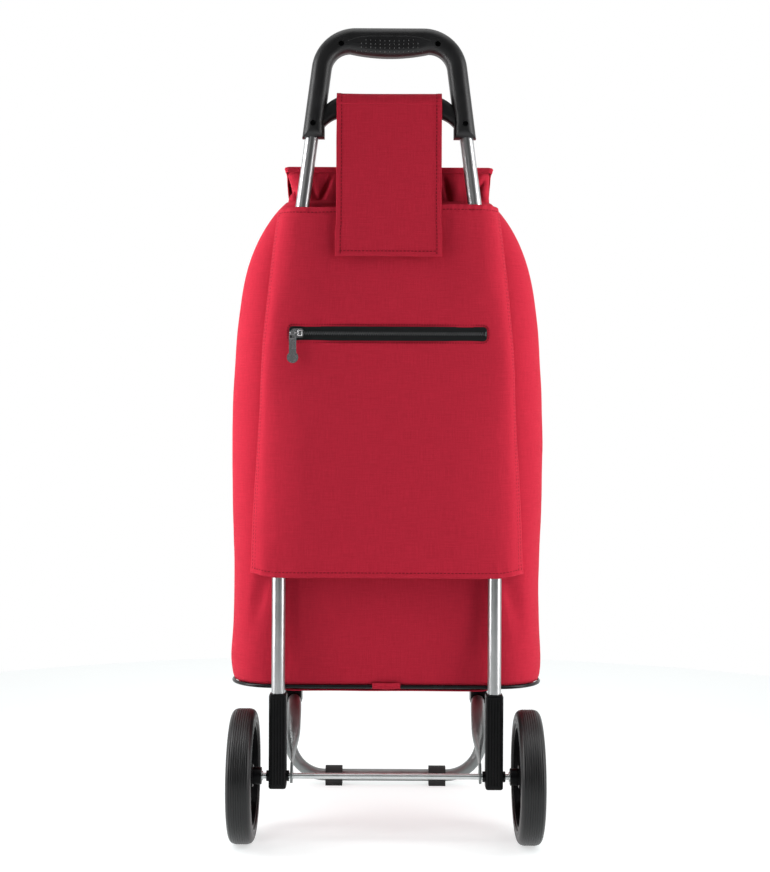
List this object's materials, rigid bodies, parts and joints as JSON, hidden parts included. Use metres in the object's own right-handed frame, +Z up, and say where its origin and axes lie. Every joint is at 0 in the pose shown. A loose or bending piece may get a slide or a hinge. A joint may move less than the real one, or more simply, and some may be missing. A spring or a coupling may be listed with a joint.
{
  "type": "shopping trolley",
  "caption": "Two-wheeled shopping trolley: bent tube frame with moulded handle, fixed floor stand, lidded fabric bag, rear zip pocket and hanging tab",
  "frame": {"origin": "on the floor, at the middle of the overall box", "axes": "+Z up, -Y to the rear where the user walks, +X to the right seen from behind"},
  "size_m": [0.3784, 0.379, 0.956],
  "materials": {
    "tube_aluminium": "satin anodised",
    "stand_steel": "satin",
    "handle_plastic": "satin moulded",
    "black_plastic": "satin moulded",
    "axle_steel": "bright",
    "screw_steel": "blackened",
    "tyre": "moulded rubber",
    "foot_rubber": "matte",
    "board": "pressed board",
    "red_fabric": "plain woven polyester",
    "lining_fabric": "thin lining",
    "piping": "glossy cord",
    "zip_black": "woven tape",
    "zip_coil": "nylon coil",
    "velcro": "hook and loop",
    "nickel": "brushed nickel"
  },
  "bodies": {
    "frame": {"frame_tube_right": "tube_aluminium", "frame_tube_left": "tube_aluminium", "leg_sleeve_right": "black_plastic", "leg_sleeve_left": "black_plastic", "handle_rear_shell": "handle_plastic", "handle_front_shell": "handle_plastic", "handle_crossbar": "handle_plastic", "handle_screws": "screw_steel", "axle": "axle_steel", "axle_spacers": "black_plastic", "axle_washers": "axle_steel", "axle_push_nuts": "axle_steel", "stand_tube": "stand_steel", "foot_right": "foot_rubber", "foot_left": "foot_rubber", "saddle_rear_right": "black_plastic", "saddle_rear_left": "black_plastic", "saddle_front_right": "black_plastic", "saddle_front_left": "black_plastic", "saddle_screws": "screw_steel", "base_board": "board", "bag_body": "red_fabric", "bag_bottom": "red_fabric", "bottom_piping": "piping", "bottom_tab": "red_fabric", "bag_collar": "red_fabric", "lid_strap_patch": "velcro", "rear_panel": "red_fabric", "pocket_lining": "lining_fabric", "zip_tape": "zip_black", "zip_coil": "zip_coil", "zip_stops": "nickel", "hang_tab_fixed": "red_fabric", "velcro_loop": "velcro"},
    "wheel_left": {"tyre_left": "tyre", "wheel_rim_left": "black_plastic", "hub_cap_left": "black_plastic"},
    "wheel_right": {"tyre_right": "tyre", "wheel_rim_right": "black_plastic", "hub_cap_right": "black_plastic"},
    "lid": {"lid": "red_fabric", "lid_strap": "red_fabric"},
    "hang_flap": {"hang_tab_flap": "red_fabric", "velcro_hook": "velcro"},
    "zip_slider": {"zip_slider": "nickel"},
    "zip_puller": {"zip_puller": "nickel"}
  },
  "joints": [
    {"name": "wheel_left_spin", "type": "hinge", "parent": "frame", "child": "wheel_left", "pos_m": [-0.167, -0.1115, 0.078], "axis": [1, 0, 0], "continuous": true},
    {"name": "wheel_right_spin", "type": "hinge", "parent": "frame", "child": "wheel_right", "pos_m": [0.167, -0.1115, 0.078], "axis": [1, 0, 0], "continuous": true},
    {"name": "lid_hinge", "type": "hinge", "parent": "frame", "child": "lid", "pos_m": [0, -0.0925, 0.796], "axis": [1, 0, 0], "range_deg": [0, 75]},
    {"name": "hang_flap_hinge", "type": "hinge", "parent": "frame", "child": "hang_flap", "pos_m": [0, -0.1255, 0.8646], "axis": [-1, 0, 0], "range_deg": [0, 100]},
    {"name": "zip_slide", "type": "slide", "parent": "frame", "child": "zip_slider", "axis": [1, 0, 0], "range_m": [0, 0.211]},
    {"name": "puller_swing", "type": "hinge", "parent": "zip_slider", "child": "zip_puller", "pos_m": [-0.1112, -0.1267, 0.5976], "axis": [-1, 0, 0], "range_deg": [0, 170]}
  ]
}
